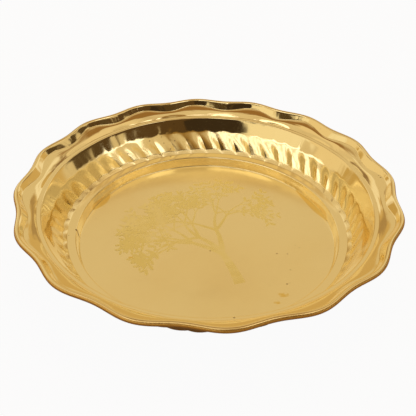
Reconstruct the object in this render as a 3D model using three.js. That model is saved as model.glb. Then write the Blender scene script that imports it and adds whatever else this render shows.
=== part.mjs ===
// Round serving tray pressed from one sheet of brass.
// A recessed floor is the foot, the wall is pressed into leaning flutes, and the scalloped rim ends in
// an edge that is rolled over a wire. Millimetres, +Z up.
// The origin is the centre of the underside of the floor, where the tray rests.
import * as THREE from 'three';

const degree = Math.PI / 180;

// Sheet and floor
const SHEET = 1.0;
const FLOOR_RADIUS = 106.2;

// Step from the floor up to the ledge, with its bend at the foot and at the top
const BEND = 1.1;
const STEP_HEIGHT = 9.25;
const STEP_RUN = 1.9;

// Ledge between the step and the feet of the flutes
const LEDGE_WIDTH = 8.4;
const LEDGE_RISE = 0.4;

// Fluted part of the wall
const FLUTE_COUNT = 50;
const FLUTE_HEIGHT = 18.55;
const FLUTE_RUN = 8.7;
const FLUTE_DEPTH = 2.3;
const FLUTE_LEAN = 4 * degree;
const FLUTE_TURN = 4.5 * degree;

// Smooth part of the wall above the flutes, and the lip where it turns over into the flange
const WALL_HEIGHT = 11.05;
const WALL_RUN = 6.4;
const LIP_ROUND = 1.0;
const RING_WIDTH = 3.1;
const RING_RISE = 0.35;

// Scallops of the flange: a low shoulder, then a steep raised edge, both waved sixteen times. The
// shoulder is rounded: a share of the way out it has already climbed a larger share of its rise.
const LOBE_COUNT = 16;
const LOBE_TURN = 5.5 * degree;
const LOBE_DRIFT = 2.3 * degree;
const SHOULDER_RUN = 8.6;
const SHOULDER_RISE = 4.7;
const SHOULDER_WAVE = 3.0;
const SHOULDER_LIFT = 0.9;
const SHOULDER_ROUND_RUN = 0.45;
const SHOULDER_ROUND_RISE = 0.7;
const EDGE_RUN = 4.9;
const EDGE_RISE = 3.4;
const EDGE_WAVE = 2.0;

// Wire, and the edge of the sheet rolled round it
const WIRE_RADIUS = 0.9;
const WIRE_CLEARANCE = 0.3;
const CURL_SWEEP = 280 * degree;

// How finely the faces follow the curves
const CURL_STEPS = 6;
const WIRE_SIDES = 6;
const FLUTE_COLUMNS = [0, 0.25, 0.65];
const FLUTE_ROWS = [0, 0.2, 0.45, 0.7, 0.9, 1.05];

// Shape of one flute, from one ridge (0) to the next (1): where it is deepest, and how high its arched
// top reaches at the ridges and how much higher midway, as shares of the height of the fluted part
const FLUTE_MIDDLE = 0.45;
const ARCH_LOW = 0.86;
const ARCH_RISE = 0.2;

// Radii and heights that follow from the sizes above
const stepFootRadius = FLOOR_RADIUS + BEND;
const stepTopRadius = FLOOR_RADIUS + STEP_RUN;
const ledgeRadius = stepTopRadius + LEDGE_WIDTH;
const ledgeHeight = STEP_HEIGHT + LEDGE_RISE;
const fluteTopRadius = ledgeRadius + FLUTE_RUN;
const fluteTopHeight = ledgeHeight + FLUTE_HEIGHT;
const lipRadius = fluteTopRadius + WALL_RUN;
const lipHeight = fluteTopHeight + WALL_HEIGHT;
const ringRadius = lipRadius + RING_WIDTH;
const ringHeight = lipHeight + RING_RISE;
const footRadius = ringRadius + SHOULDER_RUN;
const footHeight = ringHeight + SHOULDER_RISE;
const wireRingRadius = footRadius + EDGE_RUN;
const wireRingHeight = footHeight + EDGE_RISE;
const curlInside = WIRE_RADIUS + WIRE_CLEARANCE;
const curlOutside = curlInside + SHEET;
const pitch = 2 * Math.PI / FLUTE_COUNT;

// Every ring of the tray has the same columns, a few in each flute
const columns = [];
for (let flute = 0; flute < FLUTE_COUNT; flute += 1) {
  for (const share of FLUTE_COLUMNS) {
    columns.push({ share, angle: FLUTE_TURN + (flute + share) * pitch });
  }
}

function mix(from, to, share) {
  return from + (to - from) * share;
}

// 1 at the tip of a scallop and -1 between two. They were struck one after another, so they drift.
function scallop(angle) {
  return Math.cos(LOBE_COUNT * (angle - LOBE_TURN - LOBE_DRIFT * Math.cos(angle)));
}

// How far a flute is pressed outwards: share runs across it, rise runs up the fluted part of the wall.
// It is a scoop, deepest at its foot, that meets its neighbours at sharp ridges.
function fluteDepth(share, rise) {
  const halfWidth = share < FLUTE_MIDDLE ? FLUTE_MIDDLE : 1 - FLUTE_MIDDLE;
  const across = 1 - ((share - FLUTE_MIDDLE) / halfWidth) ** 2;
  const archTop = ARCH_LOW + ARCH_RISE * Math.sin(Math.PI * share);
  return FLUTE_DEPTH * across * Math.max(0, 1 - rise / archTop);
}

// Centre of the wire above one angle
function wireCentre(angle) {
  return new THREE.Vector2(wireRingRadius + EDGE_WAVE * scallop(angle), wireRingHeight);
}

// Foot of the raised edge above one angle
function raisedFoot(angle) {
  const wave = scallop(angle);
  return new THREE.Vector2(footRadius + SHOULDER_WAVE * wave, footHeight + SHOULDER_LIFT * wave);
}

// A point of the rolled edge: the raised edge meets the curl as a tangent, and the curl turns outwards
function curlPoint(angle, step, radius) {
  const centre = wireCentre(angle);
  const reach = centre.clone().sub(raisedFoot(angle));
  const slope = reach.angle() + Math.asin(curlOutside / reach.length());
  const turned = slope + Math.PI / 2 - CURL_SWEEP * step / CURL_STEPS;
  return new THREE.Vector2(radius, 0).rotateAround(new THREE.Vector2(), turned).add(centre);
}

// The upper face of the sheet, ring by ring from the floor outwards. Each ring gives a point (radius,
// height) for an angle, turns with the flutes by its lean, and may be left out on the underside.
function plainRing(radius, height, lean = 0, under = true) {
  return { lean, under, at: () => new THREE.Vector2(radius, height) };
}

function fluteRing(rise) {
  const radius = mix(ledgeRadius, fluteTopRadius, rise);
  const height = mix(ledgeHeight, fluteTopHeight, rise);
  const at = (angle, share) => new THREE.Vector2(radius + fluteDepth(share, rise), height);
  return { lean: FLUTE_LEAN * rise, under: true, at };
}

function shoulderPoint(angle) {
  const foot = raisedFoot(angle);
  const radius = mix(ringRadius, foot.x, SHOULDER_ROUND_RUN);
  return new THREE.Vector2(radius, mix(ringHeight, foot.y, SHOULDER_ROUND_RISE));
}

const wallSlope = Math.atan2(WALL_HEIGHT, WALL_RUN);
const sheetRings = [
  plainRing(FLOOR_RADIUS, 0),
  plainRing(stepFootRadius, BEND),
  plainRing(stepTopRadius - BEND / 2, STEP_HEIGHT - BEND / 2, 0, false),
  plainRing(stepTopRadius + BEND / 2, STEP_HEIGHT),
  ...FLUTE_ROWS.map(fluteRing),
  plainRing(lipRadius - LIP_ROUND * Math.cos(wallSlope), lipHeight - LIP_ROUND * Math.sin(wallSlope), FLUTE_LEAN),
  plainRing(lipRadius + LIP_ROUND / 2, lipHeight, FLUTE_LEAN, false),
  plainRing(ringRadius, ringHeight, FLUTE_LEAN),
  { lean: FLUTE_LEAN, under: true, at: shoulderPoint },
  { lean: FLUTE_LEAN, under: true, at: raisedFoot },
];

// Underside of the sheet at one ring: the upper face moved down by its thickness along its normal
function underPoint(ringIndex, column) {
  const at = (index, turn) => {
    const ring = sheetRings[index];
    return ring.at(column.angle + ring.lean + turn, column.share);
  };
  const here = at(ringIndex, 0);
  const before = ringIndex > 0 ? at(ringIndex - 1, 0) : new THREE.Vector2(0, here.y);
  const last = ringIndex === sheetRings.length - 1;
  const lean = sheetRings[ringIndex].lean;
  const after = last ? curlPoint(column.angle + lean, 0, curlOutside) : at(ringIndex + 1, 0);
  const down = [here.clone().sub(before), after.clone().sub(here)].map((edge) => {
    const along = edge.normalize();
    return new THREE.Vector2(along.y, -along.x);
  });
  const mitre = down[0].clone().add(down[1]).divideScalar(1 + down[0].dot(down[1]));
  return here.clone().addScaledVector(mitre, SHEET);
}

// Rings of points in space, collected into one closed skin
class Skin {
  constructor() {
    this.points = [];
    this.faces = [];
  }

  addPoint(x, y, z) {
    this.points.push(x, y, z);
    return this.points.length / 3 - 1;
  }

  // section is a point (radius, height) above an angle
  addSection(section, angle) {
    return this.addPoint(section.x * Math.cos(angle), section.x * Math.sin(angle), section.y + SHEET);
  }

  joinRings(inner, outer) {
    inner.forEach((from, index) => {
      const next = (index + 1) % inner.length;
      this.faces.push(from, outer[index], outer[next]);
      this.faces.push(from, outer[next], inner[next]);
    });
  }

  joinPole(pole, ring, upwards) {
    ring.forEach((from, index) => {
      const to = ring[(index + 1) % ring.length];
      this.faces.push(pole, ...(upwards ? [from, to] : [to, from]));
    });
  }

  toGeometry() {
    const geometry = new THREE.BufferGeometry();
    geometry.setAttribute('position', new THREE.Float32BufferAttribute(this.points, 3));
    geometry.setIndex(this.faces);
    geometry.computeVertexNormals();
    return geometry;
  }
}

function makePan() {
  const skin = new Skin();
  const rings = [];
  for (const ring of sheetRings) {
    rings.push(columns.map(({ angle, share }) => {
      const turned = angle + ring.lean;
      return skin.addSection(ring.at(turned, share), turned);
    }));
  }
  const curlRing = (step, radius) => columns.map(({ angle }) => {
    const turned = angle + FLUTE_LEAN;
    return skin.addSection(curlPoint(turned, step, radius), turned);
  });
  for (let step = 0; step <= CURL_STEPS; step += 1) {
    rings.push(curlRing(step, curlOutside));
  }
  for (let step = CURL_STEPS; step >= 0; step -= 1) {
    rings.push(curlRing(step, curlInside));
  }
  for (let index = sheetRings.length - 1; index >= 0; index -= 1) {
    if (sheetRings[index].under) {
      const { lean } = sheetRings[index];
      rings.push(columns.map((column) => skin.addSection(underPoint(index, column), column.angle + lean)));
    }
  }
  for (let index = 1; index < rings.length; index += 1) {
    skin.joinRings(rings[index - 1], rings[index]);
  }
  skin.joinPole(skin.addPoint(0, 0, SHEET), rings[0], true);
  skin.joinPole(skin.addPoint(0, 0, 0), rings[rings.length - 1], false);
  return skin.toGeometry();
}

// The wire follows the rolled edge all the way round and its ends are brazed together
function makeWire() {
  const skin = new Skin();
  const rings = [];
  for (let side = 0; side < WIRE_SIDES; side += 1) {
    const turn = -2 * Math.PI * side / WIRE_SIDES;
    rings.push(columns.map(({ angle }) => {
      const turned = angle + FLUTE_LEAN;
      const offset = new THREE.Vector2(WIRE_RADIUS, 0).rotateAround(new THREE.Vector2(), turn);
      return skin.addSection(wireCentre(turned).add(offset), turned);
    }));
  }
  rings.forEach((ring, index) => skin.joinRings(ring, rings[(index + 1) % rings.length]));
  return skin.toGeometry();
}

const polishedBrass = new THREE.MeshStandardMaterial({ color: 0xd8b062, roughness: 0.12, metalness: 1 });
const drawnBrass = new THREE.MeshStandardMaterial({ color: 0xb8924a, roughness: 0.4, metalness: 1 });

const trayPan = new THREE.Mesh(makePan(), polishedBrass);
trayPan.name = 'tray_pan';

const edgeWire = new THREE.Mesh(makeWire(), drawnBrass);
edgeWire.name = 'edge_wire';

const tray = new THREE.Group();
tray.name = 'round_tray';
tray.add(trayPan, edgeWire);

export default tray;
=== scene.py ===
import math
import random

import bpy
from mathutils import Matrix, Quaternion, Vector


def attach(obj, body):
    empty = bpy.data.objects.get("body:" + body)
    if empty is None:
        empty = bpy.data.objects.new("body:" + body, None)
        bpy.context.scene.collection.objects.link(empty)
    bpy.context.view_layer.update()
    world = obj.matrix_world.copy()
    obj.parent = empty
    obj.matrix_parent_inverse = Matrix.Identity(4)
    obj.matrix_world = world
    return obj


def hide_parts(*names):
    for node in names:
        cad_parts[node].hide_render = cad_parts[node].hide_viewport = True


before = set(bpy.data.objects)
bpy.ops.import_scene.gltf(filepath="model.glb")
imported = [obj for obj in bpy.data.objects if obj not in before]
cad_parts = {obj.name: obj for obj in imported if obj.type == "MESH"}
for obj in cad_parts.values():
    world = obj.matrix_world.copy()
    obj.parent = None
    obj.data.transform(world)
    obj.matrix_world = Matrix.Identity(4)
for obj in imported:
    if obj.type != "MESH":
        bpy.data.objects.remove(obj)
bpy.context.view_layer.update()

# Camera
# The tray is looked down on from the near side of the table, a little askew, from half a metre away.
view_distance = 0.52315
view_elevation = math.radians(39.19)
view_roll = math.radians(1.08)
floor_centre = Vector((0, 0, 0.001))

camera_data = bpy.data.cameras.new("camera")
camera_data.sensor_width = 36
camera_data.lens = 53.65
camera_data.shift_x = 0.0015
camera_data.shift_y = 0.0652
camera = bpy.data.objects.new("camera", camera_data)
towards_viewer = Vector((0, -math.cos(view_elevation), math.sin(view_elevation)))
camera.location = floor_centre + towards_viewer * view_distance
camera.rotation_mode = "QUATERNION"
camera.rotation_quaternion = towards_viewer.to_track_quat("Z", "Y") @ Quaternion((0, 0, 1), view_roll)
bpy.context.collection.objects.link(camera)
bpy.context.scene.camera = camera

# Tray: the blank
# One disc of 1 mm sheet brass is spun to a round dish: a recessed floor, a step up to the ledge, the
# wall, the lip and the flange, whose edge is rolled outwards and under over a wire. The flutes and the
# scallops come after, so this blank is still round.
mm = 0.001
sheet = 1.0 * mm
floor_radius = 106.2 * mm
step_height = 9.25 * mm
step_run = 1.9 * mm
ledge_width = 8.4 * mm
ledge_rise = 0.4 * mm
fluted_height = 18.55 * mm
fluted_run = 8.7 * mm
upper_wall_height = 11.05 * mm
upper_wall_run = 6.4 * mm
ring_width = 3.1 * mm
ring_rise = 0.35 * mm
shoulder_run = 8.6 * mm
shoulder_rise = 4.7 * mm
edge_run = 4.9 * mm
edge_rise = 3.4 * mm
bead_radius = 2.1 * mm
curl_sweep = math.radians(280)
curl_steps = 18
arc_steps = 5
floor_bend = 1.2 * mm
step_bend = 1.25 * mm
foot_bend = 1.2 * mm
hump_bend = 0.8 * mm
lip_bend = 1.3 * mm
ring_bend = 1.6 * mm
raised_bend = 1.2 * mm

floor_corner = Vector((floor_radius + 0.3 * mm, 0))
step_top = Vector((floor_radius + step_run, step_height))
ledge_end = step_top + Vector((ledge_width, ledge_rise))
fluted_top = ledge_end + Vector((fluted_run, fluted_height))
lip = fluted_top + Vector((upper_wall_run, upper_wall_height))
ring_end = lip + Vector((ring_width, ring_rise))
raised_foot = ring_end + Vector((shoulder_run, shoulder_rise))
bead_centre = raised_foot + Vector((edge_run, edge_rise))


def station(place, bend=0.0, rows=1, pressed=0.0, rise=0.0, shoulder=0.0, edge=0.0):
    """A corner of the profile. bend is the radius of its bend and rows the rings on the straight after
    it. The other four say how far each of the later pressings takes this corner with it."""
    return {"marks": Vector((*place, pressed, rise, shoulder, edge)), "bend": bend, "rows": rows}


def bent_corner(before, corner, after, bend):
    """The rings of one bend: an arc that meets both straights as a tangent."""
    here = corner.xy
    coming = (here - before.xy).normalized()
    going = (after.xy - here).normalized()
    turn = coming.angle(going)
    reach = bend * math.tan(turn / 2)
    start = corner.lerp(before, reach / (before.xy - here).length)
    end = corner.lerp(after, reach / (after.xy - here).length)
    inward = (going - coming * going.dot(coming)).normalized()
    rings = []
    for number in range(arc_steps + 1):
        share = number / arc_steps
        ring = start.lerp(end, share)
        turned = turn * share
        ring[:2] = start.xy + bend * (math.sin(turned) * coming + (1 - math.cos(turned)) * inward)
        rings.append(ring)
    return rings


def turned_profile(stations):
    """The profile ring by ring, from the centre of the floor outwards, with its bends as arcs."""
    corners = []
    for number, corner in enumerate(stations):
        if corner["bend"] > 0:
            around = stations[number - 1]["marks"], corner["marks"], stations[number + 1]["marks"]
            corners.append(bent_corner(*around, corner["bend"]))
        else:
            corners.append([corner["marks"]])
    rings = []
    for number, arc in enumerate(corners):
        rings += arc
        if number + 1 < len(corners):
            rows = stations[number]["rows"]
            rings += [arc[-1].lerp(corners[number + 1][0], row / rows) for row in range(1, rows)]
    return rings


def rise_at(place):
    """How far up the fluted part of the wall a point lies, as a share of its height."""
    return (place.y - ledge_end.y) / fluted_height


# Where a flute meets the ledge the sheet swells a little instead of turning sharply
hump_share = 0.12
hump_foot = ledge_end - Vector((1.5 * mm, 0.05 * mm))
hump_top = ledge_end.lerp(fluted_top, hump_share)

stations = [
    station((0, 0), rows=3),
    station(floor_corner, bend=floor_bend, rows=2),
    station(step_top, bend=step_bend, rows=4),
    station(hump_foot, bend=foot_bend, rows=2),
    station(hump_top, bend=hump_bend, rows=15, pressed=1, rise=hump_share),
    station(fluted_top, rows=6, pressed=1, rise=1),
    station(lip, bend=lip_bend, rows=2, pressed=1, rise=rise_at(lip)),
    station(ring_end, bend=ring_bend, rows=1),
]

# The shoulder of the flange bulges above the straight line between its ends
shoulder_rows = 7
shoulder_bulge = 0.85
for number in range(1, shoulder_rows):
    run = number / shoulder_rows
    lift = run * (1 + shoulder_bulge * (1 - run))
    place = ring_end + Vector((shoulder_run * run, shoulder_rise * lift))
    stations.append(station(place, shoulder=run))

# The raised edge runs up as a tangent to the bead, which then turns outwards and under
reach = bead_centre - raised_foot
edge_slope = math.atan2(reach.y, reach.x) + math.asin(bead_radius / reach.length)
bead_places = []
for number in range(curl_steps + 1):
    turned = edge_slope + math.pi / 2 - curl_sweep * number / curl_steps
    bead_places.append(bead_centre + bead_radius * Vector((math.cos(turned), math.sin(turned))))
stations.append(station(raised_foot, bend=raised_bend, rows=4, shoulder=1))
stations += [station(place, edge=1) for place in bead_places]
rings = turned_profile(stations)


def under_ring(before, ring, after):
    """The same ring on the underside of the sheet, one thickness down along the profile's normal."""
    downs = []
    for start, end in ((before, ring), (ring, after)):
        along = (end.xy - start.xy).normalized()
        downs.append(Vector((along.y, -along.x)))
    mitre = (downs[0] + downs[1]) / (1 + downs[0].dot(downs[1]))
    lowered = ring.copy()
    lowered[:2] = ring.xy + mitre * sheet
    return lowered


last = len(rings) - 1
flat_start = rings[0] - Vector((mm, 0, 0, 0, 0, 0))
past_end = rings[last] * 2 - rings[last - 1]
padded_rings = [flat_start, *rings, past_end]
under_rings = [under_ring(*padded_rings[number:number + 3]) for number in range(len(rings))]
skin_rings = rings + under_rings[::-1]

# The columns stand closer together at the crease between two flutes
flute_count = 50
flute_turn = math.radians(4.5)
flute_shares = [0, 0.03, 0.11, 0.22, 0.33, 0.44, 0.56, 0.7, 0.84, 0.96]
pitch = 2 * math.pi / flute_count
columns = [(flute, share) for flute in range(flute_count) for share in flute_shares]


def make_blank():
    """The round dish as one closed skin. Each point keeps its column's place across its flute."""
    points = []
    marks = {"share": [], "flute": [], "pressed": [], "rise": [], "shoulder": [], "edge": []}
    for ring in skin_rings:
        ring_columns = columns if ring.x > 0 else columns[:1]
        for flute, share in ring_columns:
            angle = flute_turn + (flute + share) * pitch
            points.append((ring.x * math.cos(angle), ring.x * math.sin(angle), ring.y + sheet))
            for name, value in zip(marks, (share, flute, *ring[2:])):
                marks[name].append(value)
    # Point 0 is the pole of the floor's top, and the last point that of its underside
    count = len(columns)
    body_rings = len(skin_rings) - 2
    first = 1
    far_pole = first + body_rings * count
    faces = []
    for column in range(count):
        after = (column + 1) % count
        faces.append((0, first + column, first + after))
        for ring in range(body_rings - 1):
            inner = first + ring * count
            outer = inner + count
            faces.append((inner + column, outer + column, outer + after, inner + after))
        inner = far_pole - count
        faces.append((inner + column, far_pole, inner + after))
    mesh = bpy.data.meshes.new("blank")
    mesh.from_pydata(points, [], faces)
    mesh.polygons.foreach_set("use_smooth", [True] * len(mesh.polygons))
    for name, values in marks.items():
        mesh.attributes.new(name, "FLOAT", "POINT").data.foreach_set("value", values)
    # The sheet shades sharply along the creases between the flutes
    creases = []
    for edge in mesh.edges:
        ends = edge.vertices
        creases.append(all(marks["share"][end] == 0 and marks["pressed"][end] > 0 for end in ends))
    mesh.attributes.new("sharp_edge", "BOOLEAN", "EDGE").data.foreach_set("value", creases)
    return mesh


blank = bpy.data.objects.new("blank", make_blank())
bpy.context.collection.objects.link(blank)

# Tray: the pressing
# Dies press the flutes into the wall one by one, each a scoop that leans and has an arched top, and
# strike the sixteen scallops of the flange in the same way, so neither is perfectly even.


class Amount:
    """A number inside a node tree, so that the rule of a form or a finish reads as arithmetic."""

    def __init__(self, tree, socket):
        self.tree = tree
        self.socket = socket

    def then(self, operation, *others):
        node = self.tree.nodes.new("ShaderNodeMath")
        node.operation = operation
        for place, value in zip(node.inputs, (self, *others)):
            feed(self.tree, value, place)
        return Amount(self.tree, node.outputs[0])

    def __add__(self, other):
        return self.then("ADD", other)

    def __sub__(self, other):
        return self.then("SUBTRACT", other)

    def __mul__(self, other):
        return self.then("MULTIPLY", other)

    def __truediv__(self, other):
        return self.then("DIVIDE", other)

    def __rsub__(self, other):
        return self * -1 + other

    def __rtruediv__(self, other):
        return self.then("POWER", -1.0) * other

    __radd__ = __add__
    __rmul__ = __mul__

    def eased(self, low=0, high=1):
        """0 below low and 1 above high, with a soft start and end."""
        node = self.tree.nodes.new("ShaderNodeMapRange")
        node.interpolation_type = "SMOOTHSTEP"
        for place, value in zip(node.inputs, (self, low, high)):
            feed(self.tree, value, place)
        return Amount(self.tree, node.outputs[0])


def feed(tree, value, place):
    """Links a value to a node's input, or sets it there when it is a plain number or colour."""
    if isinstance(value, Amount):
        tree.links.new(value.socket, place)
    else:
        place.default_value = value


def add_node(tree, kind, inputs=(), **settings):
    """A node with its settings and inputs; inputs are given by name or place."""
    node = tree.nodes.new(kind)
    for name, value in settings.items():
        setattr(node, name, value)
    for name, value in dict(inputs).items():
        feed(tree, value, node.inputs[name])
    return node


def take(tree, node, output=0):
    return Amount(tree, node.outputs[output])


def split(tree, vector):
    """The three numbers of a vector."""
    node = add_node(tree, "ShaderNodeSeparateXYZ", {0: vector})
    return [take(tree, node, output) for output in range(3)]


def joined(tree, x, y, z):
    return take(tree, add_node(tree, "ShaderNodeCombineXYZ", {0: x, 1: y, 2: z}))


press_sizes = {
    "Flute Depth": 2.1 * mm,
    "Flute Lean": math.radians(4),
    "Flute Middle": 0.45,
    "Arch Low": 0.86,
    "Arch Rise": 0.2,
    "Arch Ease": 1.35,
    "Foot Depth": 0.6,
    "Foot Ease": 0.65,
    "Scallops": 16.0,
    "Scallop Turn": math.radians(5.5),
    "Scallop Drift": math.radians(2.3),
    "Shoulder Wave": 3.0 * mm,
    "Shoulder Lift": 0.9 * mm,
    "Edge Wave": 2.0 * mm,
    "Hand Play": 0.2,
    "Arch Play": 0.1,
    "Uneven Wall": 0.8 * mm,
    "Uneven Flange": 2.2 * mm,
    "Uneven Size": 28 * mm,
}


def uneven_by(tree, scale):
    """A number near 0 that wanders slowly over the sheet, as hand work does."""
    wander = add_node(tree, "ShaderNodeTexNoise", {"Scale": scale, "Detail": 1.0})
    return take(tree, wander) - 0.5


def new_work(name, source, result, sizes):
    """A geometry tree with its source, its sizes, a seed and a material as named inputs."""
    tree = bpy.data.node_groups.new(name, "GeometryNodeTree")
    tree.interface.new_socket(source, in_out="INPUT", socket_type="NodeSocketGeometry")
    tree.interface.new_socket(result, in_out="OUTPUT", socket_type="NodeSocketGeometry")
    for title in sizes:
        tree.interface.new_socket(title, in_out="INPUT", socket_type="NodeSocketFloat")
    tree.interface.new_socket("Seed", in_out="INPUT", socket_type="NodeSocketInt")
    tree.interface.new_socket("Brass", in_out="INPUT", socket_type="NodeSocketMaterial")
    return tree, tree.nodes.new("NodeGroupInput")


def stored(tree, name):
    """A value kept on the points of the source."""
    node = add_node(tree, "GeometryNodeInputNamedAttribute", {"Name": name}, data_type="FLOAT")
    return take(tree, node)


def build_press():
    """The node tree that presses the blank, with one input for each size of the pressing."""
    tree, given = new_work("press_tray", "Blank", "Tray", press_sizes)
    size = {name: take(tree, given, name) for name in press_sizes}

    def play(kind):
        """A number from -0.5 to 0.5 for each flute."""
        seed = take(tree, given, "Seed") + kind
        inputs = {"Min": -0.5, "Max": 0.5, "ID": stored(tree, "flute"), "Seed": seed}
        return take(tree, add_node(tree, "FunctionNodeRandomValue", inputs, data_type="FLOAT"), 1)

    x, y, height = split(tree, take(tree, tree.nodes.new("GeometryNodeInputPosition")))
    radius = (x * x + y * y).then("SQRT")
    share = stored(tree, "share")
    rise = stored(tree, "rise")
    shoulder = stored(tree, "shoulder")

    before_deepest = share.then("LESS_THAN", size["Flute Middle"])
    half_width = 1 - size["Flute Middle"] + (2 * size["Flute Middle"] - 1) * before_deepest
    aside = (share - size["Flute Middle"]) / half_width
    across = 1 - aside * aside
    arch_rise = size["Arch Rise"] + play(1) * size["Arch Play"]
    arch_top = size["Arch Low"] + arch_rise * (share * math.pi).then("SINE")
    fading = ((arch_top - rise) / arch_top).then("MAXIMUM", 0.0).then("POWER", size["Arch Ease"])
    struck = 1 + play(0) * size["Hand Play"]
    deepening = size["Foot Depth"] + (1 - size["Foot Depth"]) * rise.eased(0.0, size["Foot Ease"])
    scoop = size["Flute Depth"] * (across * fading * deepening) * struck
    uneven = uneven_by(tree, 1 / size["Uneven Size"])
    depth = stored(tree, "pressed") * (scoop - uneven * size["Uneven Wall"])

    angle = y.then("ARCTAN2", x) + size["Flute Lean"] * rise.then("MINIMUM", 1.0)
    drifted = angle - size["Scallop Turn"] - size["Scallop Drift"] * angle.then("COSINE")
    wave = (drifted * size["Scallops"]).then("COSINE")
    out = wave * (shoulder * size["Shoulder Wave"] + stored(tree, "edge") * size["Edge Wave"])
    new_radius = radius + depth + out
    new_height = height + shoulder * (wave * size["Shoulder Lift"] + uneven * size["Uneven Flange"])
    place = joined(tree, new_radius * angle.then("COSINE"), new_radius * angle.then("SINE"), new_height)

    pressed = add_node(
        tree,
        "GeometryNodeSetPosition",
        {"Geometry": take(tree, given, "Blank"), "Position": place},
    )
    whole = add_node(tree, "GeometryNodeRealizeInstances", {"Geometry": take(tree, pressed)})
    finished = add_node(
        tree,
        "GeometryNodeSetMaterial",
        {"Geometry": take(tree, whole), "Material": take(tree, given, "Brass")},
    )
    leaving = tree.nodes.new("NodeGroupOutput")
    feed(tree, take(tree, finished), leaving.inputs[0])
    return tree


def socket_key(tree, name):
    """The identifier under which a modifier keeps the input of that name."""
    return next(
        item.identifier
        for item in tree.interface.items_tree
        if item.item_type == "SOCKET" and item.in_out == "INPUT" and item.name == name
    )


def worked(source, tree, values, name):
    """A plain mesh object, made by running a node tree on a source object, which then goes."""
    modifier = source.modifiers.new(name, "NODES")
    modifier.node_group = tree
    for title, value in values.items():
        modifier[socket_key(tree, title)] = value
    seen = source.evaluated_get(bpy.context.evaluated_depsgraph_get())
    mesh = bpy.data.meshes.new_from_object(seen)
    mesh.name = name
    bpy.data.objects.remove(source)
    piece = bpy.data.objects.new(name, mesh)
    bpy.context.collection.objects.link(piece)
    return piece


# Tray: the finish
# The brass is buffed to a mirror and lacquered, but not underneath, where its darker brown is partly
# painted shade. Close to, it has fine polishing marks round the centre, a slight ripple, smudges, brown
# specks of tarnish, a few yellow stains and painted yellow reflections of the step wall in the corner of
# the floor.
polished_colour = (0.91, 0.785, 0.47, 1)
reddened_colour = (0.89, 0.72, 0.38, 1)
tarnish_colour = (0.16, 0.07, 0.02, 1)
# Used both for real yellow stains and for painted reflections of the step wall on the floor
stain_and_reflection_colour = (0.80, 0.55, 0.12, 1)
# Darker brown underneath and outside: partly the unbuffed skin, partly painted shade from the shadowed
# table
unbuffed_shaded_colour = (0.56, 0.33, 0.085, 1)
mirror_roughness = 0.05


def new_effect(name, inputs, outputs):
    """A shader node group with float inputs and the outputs named, and its first and last nodes."""
    tree = bpy.data.node_groups.new(name, "ShaderNodeTree")
    tree.interface.new_socket("Place", in_out="INPUT", socket_type="NodeSocketVector")
    for title, value in inputs.items():
        socket = tree.interface.new_socket(title, in_out="INPUT", socket_type="NodeSocketFloat")
        socket.default_value = value
    for title in outputs:
        tree.interface.new_socket(title, in_out="OUTPUT", socket_type="NodeSocketFloat")
    given = tree.nodes.new("NodeGroupInput")
    leaving = tree.nodes.new("NodeGroupOutput")
    return tree, given, leaving


def noise(tree, place, scale, detail=2.0, roughness=0.5, distortion=0.0):
    """A noise value, which is near 0.5 on average."""
    inputs = {"Vector": place, "Scale": scale, "Detail": detail}
    inputs |= {"Roughness": roughness, "Distortion": distortion}
    return take(tree, add_node(tree, "ShaderNodeTexNoise", inputs))


def build_smudges():
    """Faint smears of a cloth or a hand: patches where a gloss is less clear."""
    tree, given, leaving = new_effect("cloth_smudges", {"Scale": 14.0, "Amount": 1.0}, ["Smudge"])
    place = take(tree, given, "Place")
    broad = noise(tree, place, take(tree, given, "Scale"), 4.0, 0.6, 0.6)
    fine = noise(tree, place, take(tree, given, "Scale") * 9, 3.0, 0.6)
    smudge = (broad * 0.7 + fine * 0.3).eased(0.42, 0.68) * take(tree, given, "Amount")
    feed(tree, smudge, leaving.inputs["Smudge"])
    return tree


def build_specks():
    """Small spots of tarnish, in loose clusters."""
    tree, given, leaving = new_effect("tarnish_specks", {"Scale": 160.0, "Amount": 1.0}, ["Speck"])
    place = take(tree, given, "Place")
    spots = add_node(
        tree,
        "ShaderNodeTexVoronoi",
        {"Vector": place, "Scale": take(tree, given, "Scale"), "Randomness": 1.0},
    )
    clusters = noise(tree, place, 22.0, 2.0).eased(0.56, 0.7)
    speck = (1 - take(tree, spots, "Distance").eased(0.05, 0.16)) * clusters
    feed(tree, speck * take(tree, given, "Amount"), leaving.inputs["Speck"])
    return tree


def build_ripple():
    """The slight ripple that hand buffing leaves, and the fine marks that the buff draws in circles."""
    tree, given, leaving = new_effect(
        "buffed_ripple", {"Ripple Scale": 26.0, "Mark Scale": 2600.0}, ["Ripple", "Marks"]
    )
    place = take(tree, given, "Place")
    x, y, height = split(tree, place)
    radius = (x * x + y * y).then("SQRT")
    angle = y.then("ARCTAN2", x)
    # Round the centre the marks change little, so they are drawn out to long arcs
    around = joined(tree, radius, angle * 0.002, height)
    feed(tree, noise(tree, place, take(tree, given, "Ripple Scale"), 1.0), leaving.inputs["Ripple"])
    feed(tree, noise(tree, around, take(tree, given, "Mark Scale"), 2.0), leaving.inputs["Marks"])
    return tree


smudges = build_smudges()
specks = build_specks()
ripple = build_ripple()


def blended(tree, factor, first, second):
    """A colour between two. The mix node has its factor, colours and result at fixed sockets."""
    node = add_node(tree, "ShaderNodeMix", data_type="RGBA")
    for place, value in ((0, factor), (6, first), (7, second)):
        feed(tree, value, node.inputs[place])
    return take(tree, node, 2)


def new_finish(name, metallic=1.0):
    """A material with its surface node, and the coordinates of the piece."""
    material = bpy.data.materials.new(name)
    material.use_nodes = True
    tree = material.node_tree
    surface = tree.nodes["Principled BSDF"]
    surface.inputs["Metallic"].default_value = metallic
    place = take(tree, tree.nodes.new("ShaderNodeTexCoord"), "Object")
    return material, tree, surface, place


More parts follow.
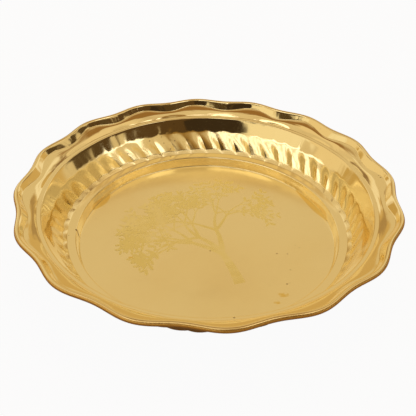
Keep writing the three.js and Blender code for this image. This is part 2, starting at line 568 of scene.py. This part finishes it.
def applied(tree, effect, place, output=0, **amounts):
    """One output of an effect at a place, with the amounts named."""
    inputs = {title.replace("_", " "): value for title, value in amounts.items()}
    node = add_node(tree, "ShaderNodeGroup", node_tree=effect)
    feed(tree, place, node.inputs["Place"])
    for title, value in inputs.items():
        feed(tree, value, node.inputs[title])
    return take(tree, node, output)


def bumped(tree, height, distance, normal=None):
    """A normal tilted by a height; distance is the height of 1 in metres."""
    node = add_node(tree, "ShaderNodeBump", {"Height": height, "Distance": distance, "Strength": 1.0})
    if normal is not None:
        feed(tree, normal, node.inputs["Normal"])
    return take(tree, node)


def mark_of(tree, name):
    """A value that the pressing left on the mesh."""
    return take(tree, add_node(tree, "ShaderNodeAttribute", attribute_name=name), "Fac")


# Marks on the floor, in metres: yellow stains, dots and one pit, each with its place and its radius
stains = [(0.0581, -0.0699, 0.0042), (0.0536, -0.0785, 0.0034), (-0.061, -0.031, 0.004)]
dots = [(0.0621, -0.0578, 0.0009), (-0.0034, -0.0971, 0.0009), (-0.1075, -0.0075, 0.0018)]
stain_length = 1.7
stain_ragging = 2.2
# Painted reflections of the step wall in the mirror of the floor: yellow crescents in the corner under
# the step, each with its middle and half its width
step_reflections = [(math.radians(26), math.radians(15)), (math.radians(155), math.radians(8))]
step_reflection_width = 6 * mm
step_reflection_ragging = 2 * mm


def marked(tree, place, marks):
    """1 inside ragged round marks and 0 outside."""
    x, y, _ = split(tree, place)
    ragged = noise(tree, place, 420.0, 3.0) - 0.5
    covered = 0.0
    for mark_x, mark_y, size in marks:
        across = x - mark_x
        along = (y - mark_y) * stain_length
        away = (across * across + along * along).then("SQRT") + ragged * size * stain_ragging
        inside = 1 - away.eased(size * 0.4, size)
        covered = inside.then("MAXIMUM", covered)
    return covered


def step_reflected(tree, place):
    """1 in the painted reflections of the step wall, crescents under the step that fade inwards with a
    ragged edge.
    """
    x, y, height = split(tree, place)
    radius = (x * x + y * y).then("SQRT")
    angle = y.then("ARCTAN2", x)
    ragged = noise(tree, place, 90.0, 3.0) - 0.5
    covered = 0.0
    for middle, half in step_reflections:
        aside = (angle - middle).then("ABSOLUTE") / half
        width = (1 - aside * aside).then("MAXIMUM", 0.0) * step_reflection_width
        reach = radius - floor_radius + width + ragged * step_reflection_ragging
        inside = reach.eased(0.0, 1.2 * mm) * width.eased(0.0, 1.0 * mm)
        covered = inside.then("MAXIMUM", covered)
    return covered * (1 - height.eased(1.2 * mm, 2.0 * mm))


def make_polished_brass():
    material, tree, surface, place = new_finish("polished_brass")
    x, y, _ = split(tree, place)
    radius = (x * x + y * y).then("SQRT")
    floor = 1 - radius.eased(floor_radius - 3 * mm, floor_radius)
    # The buff reaches neither the underside, which faces down, nor the outside of the wall; their darker
    # brown is partly that unbuffed skin and partly painted shade from the shadowed table under the tray
    normal = take(tree, tree.nodes.new("ShaderNodeNewGeometry"), "Normal")
    facing_x, facing_y, facing_up = split(tree, normal)
    outwards = (facing_x * x + facing_y * y) / radius
    outside = (1 - facing_up.eased(-0.2, 0.1)).then("MAXIMUM", outwards.eased(0.3, 0.75))
    rise = mark_of(tree, "rise")
    pressed = mark_of(tree, "pressed")
    corner = pressed * (1 - rise.eased(0.0, 0.25))
    fluted = pressed * (1 - rise.eased(0.8, 1.1))
    smudge = applied(tree, smudges, place, Scale=13.0, Amount=1.0)
    speck = applied(tree, specks, place, Scale=150.0, Amount=0.6)
    waves = applied(tree, ripple, place, "Ripple", Ripple_Scale=30.0)
    marks = applied(tree, ripple, place, "Marks", Mark_Scale=2600.0)
    tint = noise(tree, place, 9.0, 3.0).eased(0.35, 0.75)
    colour = blended(tree, tint * 0.5, polished_colour, reddened_colour)
    # Real stains, and the painted reflections of the step wall, both take the stain colour
    stains_and_reflections = (marked(tree, place, stains) * 0.8).then("MAXIMUM", step_reflected(tree, place) * 0.75)
    colour = blended(tree, stains_and_reflections, colour, stain_and_reflection_colour)
    speck = speck.then("MAXIMUM", marked(tree, place, dots))
    colour = blended(tree, speck, colour, tarnish_colour)
    # Painted shade, in part: the underside and the outside of the wall take the darker unbuffed colour
    colour = blended(tree, outside, colour, unbuffed_shaded_colour)
    feed(tree, colour, surface.inputs["Base Color"])
    dulled = smudge * 0.05 + speck * 0.3 + floor * 0.09 + corner * 0.3 + fluted * 0.05 + outside * 0.3
    feed(tree, mirror_roughness + dulled, surface.inputs["Roughness"])
    rippled = bumped(tree, waves, 0.05 * mm)
    feed(tree, bumped(tree, marks, 0.0004 * mm, rippled), surface.inputs["Normal"])
    return material


polished_brass = make_polished_brass()
press_values = {**press_sizes, "Seed": 7, "Brass": polished_brass}
tray = worked(blank, build_press(), press_values, "polished_pan")
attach(tray, "root")
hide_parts("tray_pan")

# Etched tree
# A tree with a bent trunk, forking boughs and pointed leaves is etched into the middle of the floor.
# The acid takes the polish off, so the tree is matt and a little yellower than the mirror round it.
trunk_foot = Vector((26 * mm, -58 * mm))
trunk_heading = math.radians(104)
trunk_length = 38 * mm
trunk_width = 9 * mm
bough_levels = 5
leafy_levels = 2
bough_steps = 4
leaf_length = 6.2 * mm
leaf_width = 2.6 * mm
etched_height = 0.03 * mm
hair = 0.0001 * mm
etcher = random.Random(37)


def grow_bough(boughs, leaves, place, heading, length, width, level):
    """A bough is a bent row of places with half its width at each. It ends in smaller boughs, and the
    smallest carry leaves, each a place and the way it points."""
    bend = etcher.uniform(-0.14, 0.14)
    row = [(place, width / 2)]
    for step in range(1, bough_steps + 1):
        heading += bend
        place = place + Vector((math.cos(heading), math.sin(heading))) * length / bough_steps
        row.append((place, width / 2 * (1 - 0.4 * step / bough_steps)))
        if level < leafy_levels and step % 2 == 0:
            leaves += [(place, heading + side * etcher.uniform(0.5, 1.1)) for side in (-1, 1)]
    boughs.append(row)
    forks = 3 if level > leafy_levels else 2
    if level > 0:
        for fork in range(forks):
            turn = (fork - (forks - 1) / 2) * etcher.uniform(0.5, 0.85)
            shorter = length * etcher.uniform(0.7, 0.86)
            grow_bough(boughs, leaves, place, heading + turn, shorter, width * 0.58, level - 1)


def make_etching_plan():
    """The middle lines of the boughs as edges, and a loose point for each leaf. Each lies a hair higher
    than the one before, so that no two share a plane."""
    boughs = []
    leaves = []
    grow_bough(boughs, leaves, trunk_foot, trunk_heading, trunk_length, trunk_width, bough_levels)
    points = []
    edges = []
    marks = {"half_width": [], "lifted": [], "leaf": [], "turn": []}
    lift = 0.0
    for row in boughs:
        edges += [(len(points) + step, len(points) + step + 1) for step in range(len(row) - 1)]
        lift += hair
        for place, half_width in row:
            points.append((*place, sheet + lift))
            for name, value in zip(marks, (half_width, sheet + lift, 0.0, 0.0)):
                marks[name].append(value)
    for place, turn in leaves:
        lift += hair
        middle = place + Vector((math.cos(turn), math.sin(turn))) * leaf_length / 2
        points.append((*middle, sheet + lift))
        for name, value in zip(marks, (0.0, sheet + lift, 1.0, turn)):
            marks[name].append(value)
    mesh = bpy.data.meshes.new("etching_plan")
    mesh.from_pydata(points, edges, [])
    for name, values in marks.items():
        mesh.attributes.new(name, "FLOAT", "POINT").data.foreach_set("value", values)
    plan = bpy.data.objects.new("etching_plan", mesh)
    bpy.context.collection.objects.link(plan)
    return plan


etching_sizes = {"Leaf Length": leaf_length, "Leaf Width": leaf_width, "Height": etched_height}


def build_etching():
    """The node tree that gives the boughs their width and sets a leaf on each of its points."""
    tree, given = new_work("etch_tree", "Plan", "Etching", etching_sizes)
    height = take(tree, given, "Height")

    def made(kind, **inputs):
        titled = {title.replace("_", " "): value for title, value in inputs.items()}
        return take(tree, add_node(tree, kind, titled))

    plan = take(tree, given, "Plan")
    lines = made("GeometryNodeMeshToCurve", Mesh=plan)
    upright = add_node(tree, "GeometryNodeSetCurveNormal", {"Curve": lines}, mode="Z_UP")
    section = made("GeometryNodeCurvePrimitiveQuadrilateral", Width=2.0, Height=2.0)
    bars = made(
        "GeometryNodeCurveToMesh",
        Curve=take(tree, upright),
        Profile_Curve=section,
        Scale=stored(tree, "half_width"),
        Fill_Caps=True,
    )
    # The bars are as high as they are wide, so they are pressed flat
    x, y, level = split(tree, take(tree, tree.nodes.new("GeometryNodeInputPosition")))
    lifted = stored(tree, "lifted")
    flat = joined(tree, x, y, lifted + (level - lifted).then("SIGN") * height)
    boughs = made("GeometryNodeSetPosition", Geometry=bars, Position=flat)

    points = made("GeometryNodeMeshToPoints", Mesh=plan, Selection=stored(tree, "leaf"))
    blade = add_node(
        tree,
        "GeometryNodeMeshCylinder",
        {"Vertices": 8, "Side Segments": 1, "Radius": 0.5, "Depth": height * 2},
    )
    seed = take(tree, given, "Seed")
    growth = {"Min": 0.7, "Max": 1.15, "Seed": seed}
    size = take(tree, add_node(tree, "FunctionNodeRandomValue", growth, data_type="FLOAT"), 1)
    length = size * take(tree, given, "Leaf Length")
    width = size * take(tree, given, "Leaf Width")
    turned = joined(tree, 0.0, 0.0, stored(tree, "turn"))
    blades = made(
        "GeometryNodeInstanceOnPoints",
        Points=points,
        Instance=take(tree, blade),
        Rotation=turned,
        Scale=joined(tree, length, width, 1.0),
    )
    together = tree.nodes.new("GeometryNodeJoinGeometry")
    for part in (boughs, blades):
        tree.links.new(part.socket, together.inputs[0])
    whole = made("GeometryNodeRealizeInstances", Geometry=take(tree, together))
    flatly = made("GeometryNodeSetShadeSmooth", Geometry=whole, Shade_Smooth=False)
    finished = made("GeometryNodeSetMaterial", Geometry=flatly, Material=take(tree, given, "Brass"))
    leaving = tree.nodes.new("NodeGroupOutput")
    feed(tree, finished, leaving.inputs[0])
    return tree


etched_colour = (0.92, 0.79, 0.35, 1)
worn_colour = (0.93, 0.80, 0.44, 1)


def make_etched_brass():
    material, tree, surface, place = new_finish("etched_brass")
    worn = applied(tree, smudges, place, Scale=22.0, Amount=1.0)
    grain = noise(tree, place, 4200.0, 2.0)
    feed(tree, blended(tree, worn * 0.8, etched_colour, worn_colour), surface.inputs["Base Color"])
    feed(tree, 0.31 - worn * 0.1, surface.inputs["Roughness"])
    feed(tree, bumped(tree, grain, 0.002 * mm), surface.inputs["Normal"])
    return material


etched_brass = make_etched_brass()
etching_values = {**etching_sizes, "Seed": 3, "Brass": etched_brass}
etching = worked(make_etching_plan(), build_etching(), etching_values, "etched_tree")
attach(etching, "root")

# Edge wire
# A ring of drawn brass wire lies inside the rolled edge and stiffens it. The sheet hides it, so it
# keeps the dull skin with which it left the drawing die.
drawn_colour = (0.50, 0.34, 0.13, 1)
oxide_colour = (0.22, 0.12, 0.04, 1)


def make_drawn_brass():
    material, tree, surface, place = new_finish("drawn_brass")
    oxide = applied(tree, smudges, place, Scale=60.0, Amount=0.8)
    lines = applied(tree, ripple, place, "Marks", Mark_Scale=1800.0)
    feed(tree, blended(tree, oxide, drawn_colour, oxide_colour), surface.inputs["Base Color"])
    feed(tree, 0.3 + oxide * 0.3, surface.inputs["Roughness"])
    feed(tree, bumped(tree, lines, 0.01 * mm), surface.inputs["Normal"])
    return material


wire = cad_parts["edge_wire"]
wire.data.materials.clear()
wire.data.materials.append(make_drawn_brass())

# Table and studio. The table looks white to the camera and, as painted shade, dark brown to the tray,
# which is a mirror: that dark brown stands in for the shade on the table under and round the tray. Most
# of what the tray shows is the room round the table, so the room is drawn as soft-edged patches by their
# direction. The camera itself sees a white room.
# The camera itself sees a white room.
# Painted shade: the dark brown that the tray mirrors stands in for the shadowed table under and round it
table_shade_colour = (0.29, 0.19, 0.085, 1)
table_radius = 4.0
table_sides = 64
camera_glow = 0.955
mirrored_glow = 0.06
wall_colour = (0.75, 0.59, 0.345, 1)
ceiling_colour = (0.80, 0.645, 0.40, 1)
softened_colour = (0.95, 0.83, 0.64, 1)
clutter_colour = (0.40, 0.24, 0.10, 1)
clutter_weight = 0.3
softening = 0.62
patch_wander = 20.0
# First and last angle round the room, lowest and highest above the horizon, softness of the edge, all in
# degrees, and the colour, each patch over the ones before
room_patches = [
    (-62, 62, -12, 27, 4, (0.66, 0.44, 0.165)),
    (-60, 60, 51, 80, 5, (0.33, 0.17, 0.05)),
    (146, 206, 15, 40, 4, (0.34, 0.19, 0.045)),
    (206, 222, 20, 40, 3, (0.72, 0.52, 0.22)),
    (222, 262, 22, 40, 3, (1.0, 0.86, 0.58)),
    (-100, -35, 10, 40, 3, (0.90, 0.71, 0.41)),
    (-80, -38, -4, 10, 2, (0.60, 0.39, 0.13)),
    (55, 100, 38, 66, 5, (0.87, 0.68, 0.40)),
    (-75, -40, 48, 66, 4, (0.87, 0.68, 0.40)),
    (14, 24, -8, 28, 3, (0.45, 0.29, 0.12)),
    (29, 40, -8, 46, 3, (0.98, 0.84, 0.60)),
    (44, 58, 22, 46, 3, (0.30, 0.18, 0.08)),
    (-24, -14, -8, 28, 3, (0.45, 0.29, 0.12)),
    (-40, -29, -8, 46, 3, (0.98, 0.84, 0.60)),
    (-58, -44, 24, 36, 3, (0.30, 0.18, 0.08)),
    (120, 240, 54, 66, 3, (0.32, 0.18, 0.055)),
    (150, 210, 69, 73, 1, (1.3, 1.15, 0.95)),
    (66, 104, 12, 27, 1.5, (0.10, 0.06, 0.024)),
    (96, 166, 22, 40, 2, (0.10, 0.055, 0.02)),
    (125, 238, 38, 52, 3, (0.09, 0.055, 0.02)),
    (162, 206, 23, 44, 1, (0.045, 0.028, 0.014)),
    (111, 130, 15, 21, 1.5, (2.0, 1.9, 1.7)),
    (94, 111, 9.5, 15.5, 1.5, (2.0, 1.9, 1.7)),
    (238, 252, 16, 21, 1.5, (2.0, 1.9, 1.7)),
    (252, 270, 8, 13.5, 1.5, (1.8, 1.7, 1.5)),
    (226, 256, 52, 64, 2, (1.9, 1.75, 1.45)),
    (104, 136, 52, 64, 2, (1.9, 1.75, 1.45)),
]


def make_table():
    mesh = bpy.data.meshes.new("table")
    points = []
    for number in range(table_sides):
        angle = 2 * math.pi * number / table_sides
        points.append((table_radius * math.cos(angle), table_radius * math.sin(angle), 0))
    mesh.from_pydata(points, [], [tuple(range(table_sides))])
    table = bpy.data.objects.new("table", mesh)
    bpy.context.collection.objects.link(table)
    material, tree, surface, _ = new_finish("table_white", metallic=0.0)
    # Painted shade: the table's dark brown is what the tray mirrors of it
    surface.inputs["Base Color"].default_value = table_shade_colour
    surface.inputs["Roughness"].default_value = 0.9
    glow = add_node(tree, "ShaderNodeEmission", {"Color": (1, 1, 1, 1), "Strength": 1.0})
    path = tree.nodes.new("ShaderNodeLightPath")
    from_camera = take(tree, path, "Is Camera Ray")
    glowing = from_camera * camera_glow + take(tree, path, "Is Glossy Ray") * mirrored_glow
    mixed = add_node(tree, "ShaderNodeMixShader", {0: glowing})
    tree.links.new(surface.outputs[0], mixed.inputs[1])
    tree.links.new(glow.outputs[0], mixed.inputs[2])
    # From below one looks through the table, at the underside of the tray
    below = take(tree, tree.nodes.new("ShaderNodeNewGeometry"), "Backfacing")
    cleared = add_node(tree, "ShaderNodeMixShader", {0: below * from_camera})
    tree.links.new(mixed.outputs[0], cleared.inputs[1])
    tree.links.new(tree.nodes.new("ShaderNodeBsdfTransparent").outputs[0], cleared.inputs[2])
    tree.links.new(cleared.outputs[0], tree.nodes["Material Output"].inputs["Surface"])
    mesh.materials.append(material)


def make_room():
    """The room as the tray mirrors it: each patch is a soft-edged part of it, by direction in degrees.
    The first angle runs round from the far side (0) by the right (90) to the viewer (180), and the
    second is the height above the horizon. What one part of the tray mirrors in another is softer."""
    world = bpy.data.worlds.new("studio")
    bpy.context.scene.world = world
    world.use_nodes = True
    tree = world.node_tree
    background = tree.nodes["Background"]
    direction = take(tree, tree.nodes.new("ShaderNodeTexCoord"), "Generated")
    x, y, height = split(tree, direction)
    climb = height.then("ARCSINE") * (180 / math.pi)
    around = x.then("ARCTAN2", y) * (180 / math.pi)
    room = blended(tree, climb.eased(45, 85), wall_colour, ceiling_colour)
    clutter = noise(tree, direction, 2.6, 2.0, 0.5, 0.4).eased(0.5, 0.64)
    # The far side is clear of clutter, because the floor of the tray mirrors it
    clear = climb.eased(27, 33) * (1 - climb.eased(48, 54)) * (1 - around.then("ABSOLUTE").eased(24, 34))
    cluttered = clutter * (1 - clear) * climb.eased(18, 26) * clutter_weight
    room = blended(tree, cluttered, room, clutter_colour)
    streaks = joined(tree, x * 3, y * 3, height * 0.5)
    climb = climb + (noise(tree, streaks, 5.0) - 0.5) * patch_wander
    around = around + (noise(tree, direction, 7.0) - 0.5) * patch_wander
    for first, last, low, high, edge, colour in room_patches:
        half_round = (last - first) / 2
        half_high = (high - low) / 2
        aside = (around - (first + last) / 2).then("ABSOLUTE")
        aside = aside.then("MINIMUM", 360 - aside)
        off_level = (climb - (low + high) / 2).then("ABSOLUTE")
        beyond = aside.eased(half_round - edge, half_round + edge)
        above = off_level.eased(half_high - edge, half_high + edge)
        room = blended(tree, (1 - beyond) * (1 - above), room, (*colour, 1))
    # The world counts a ray that comes straight from one mirror as 2, and from a second one as 3
    path = tree.nodes.new("ShaderNodeLightPath")
    mirrored_twice = take(tree, path, "Ray Depth").eased(2.2, 2.8)
    room = blended(tree, mirrored_twice * softening, room, softened_colour)
    seen = take(tree, path, "Is Camera Ray")
    feed(tree, blended(tree, seen, room, (1, 1, 1, 1)), background.inputs["Color"])


def soft_light(name, place, aim, width, depth, watts):
    """A rectangular soft box that faces a point."""
    data = bpy.data.lights.new(name, "AREA")
    data.shape = "RECTANGLE"
    data.size = width
    data.size_y = depth
    data.energy = watts
    light = bpy.data.objects.new(name, data)
    light.visible_glossy = False
    light.location = place
    light.rotation_mode = "QUATERNION"
    light.rotation_quaternion = (Vector(place) - Vector(aim)).to_track_quat("Z", "Y")
    bpy.context.collection.objects.link(light)


make_table()
make_room()
soft_light("overhead_softbox", (0.1, 0.3, 1.4), (0, 0, 0), 0.5, 0.25, 6)
soft_light("far_light", (0, 1.3, 1.2), (0, 0, 0), 1.4, 0.8, 12)

bpy.context.scene.view_settings.view_transform = "Standard"
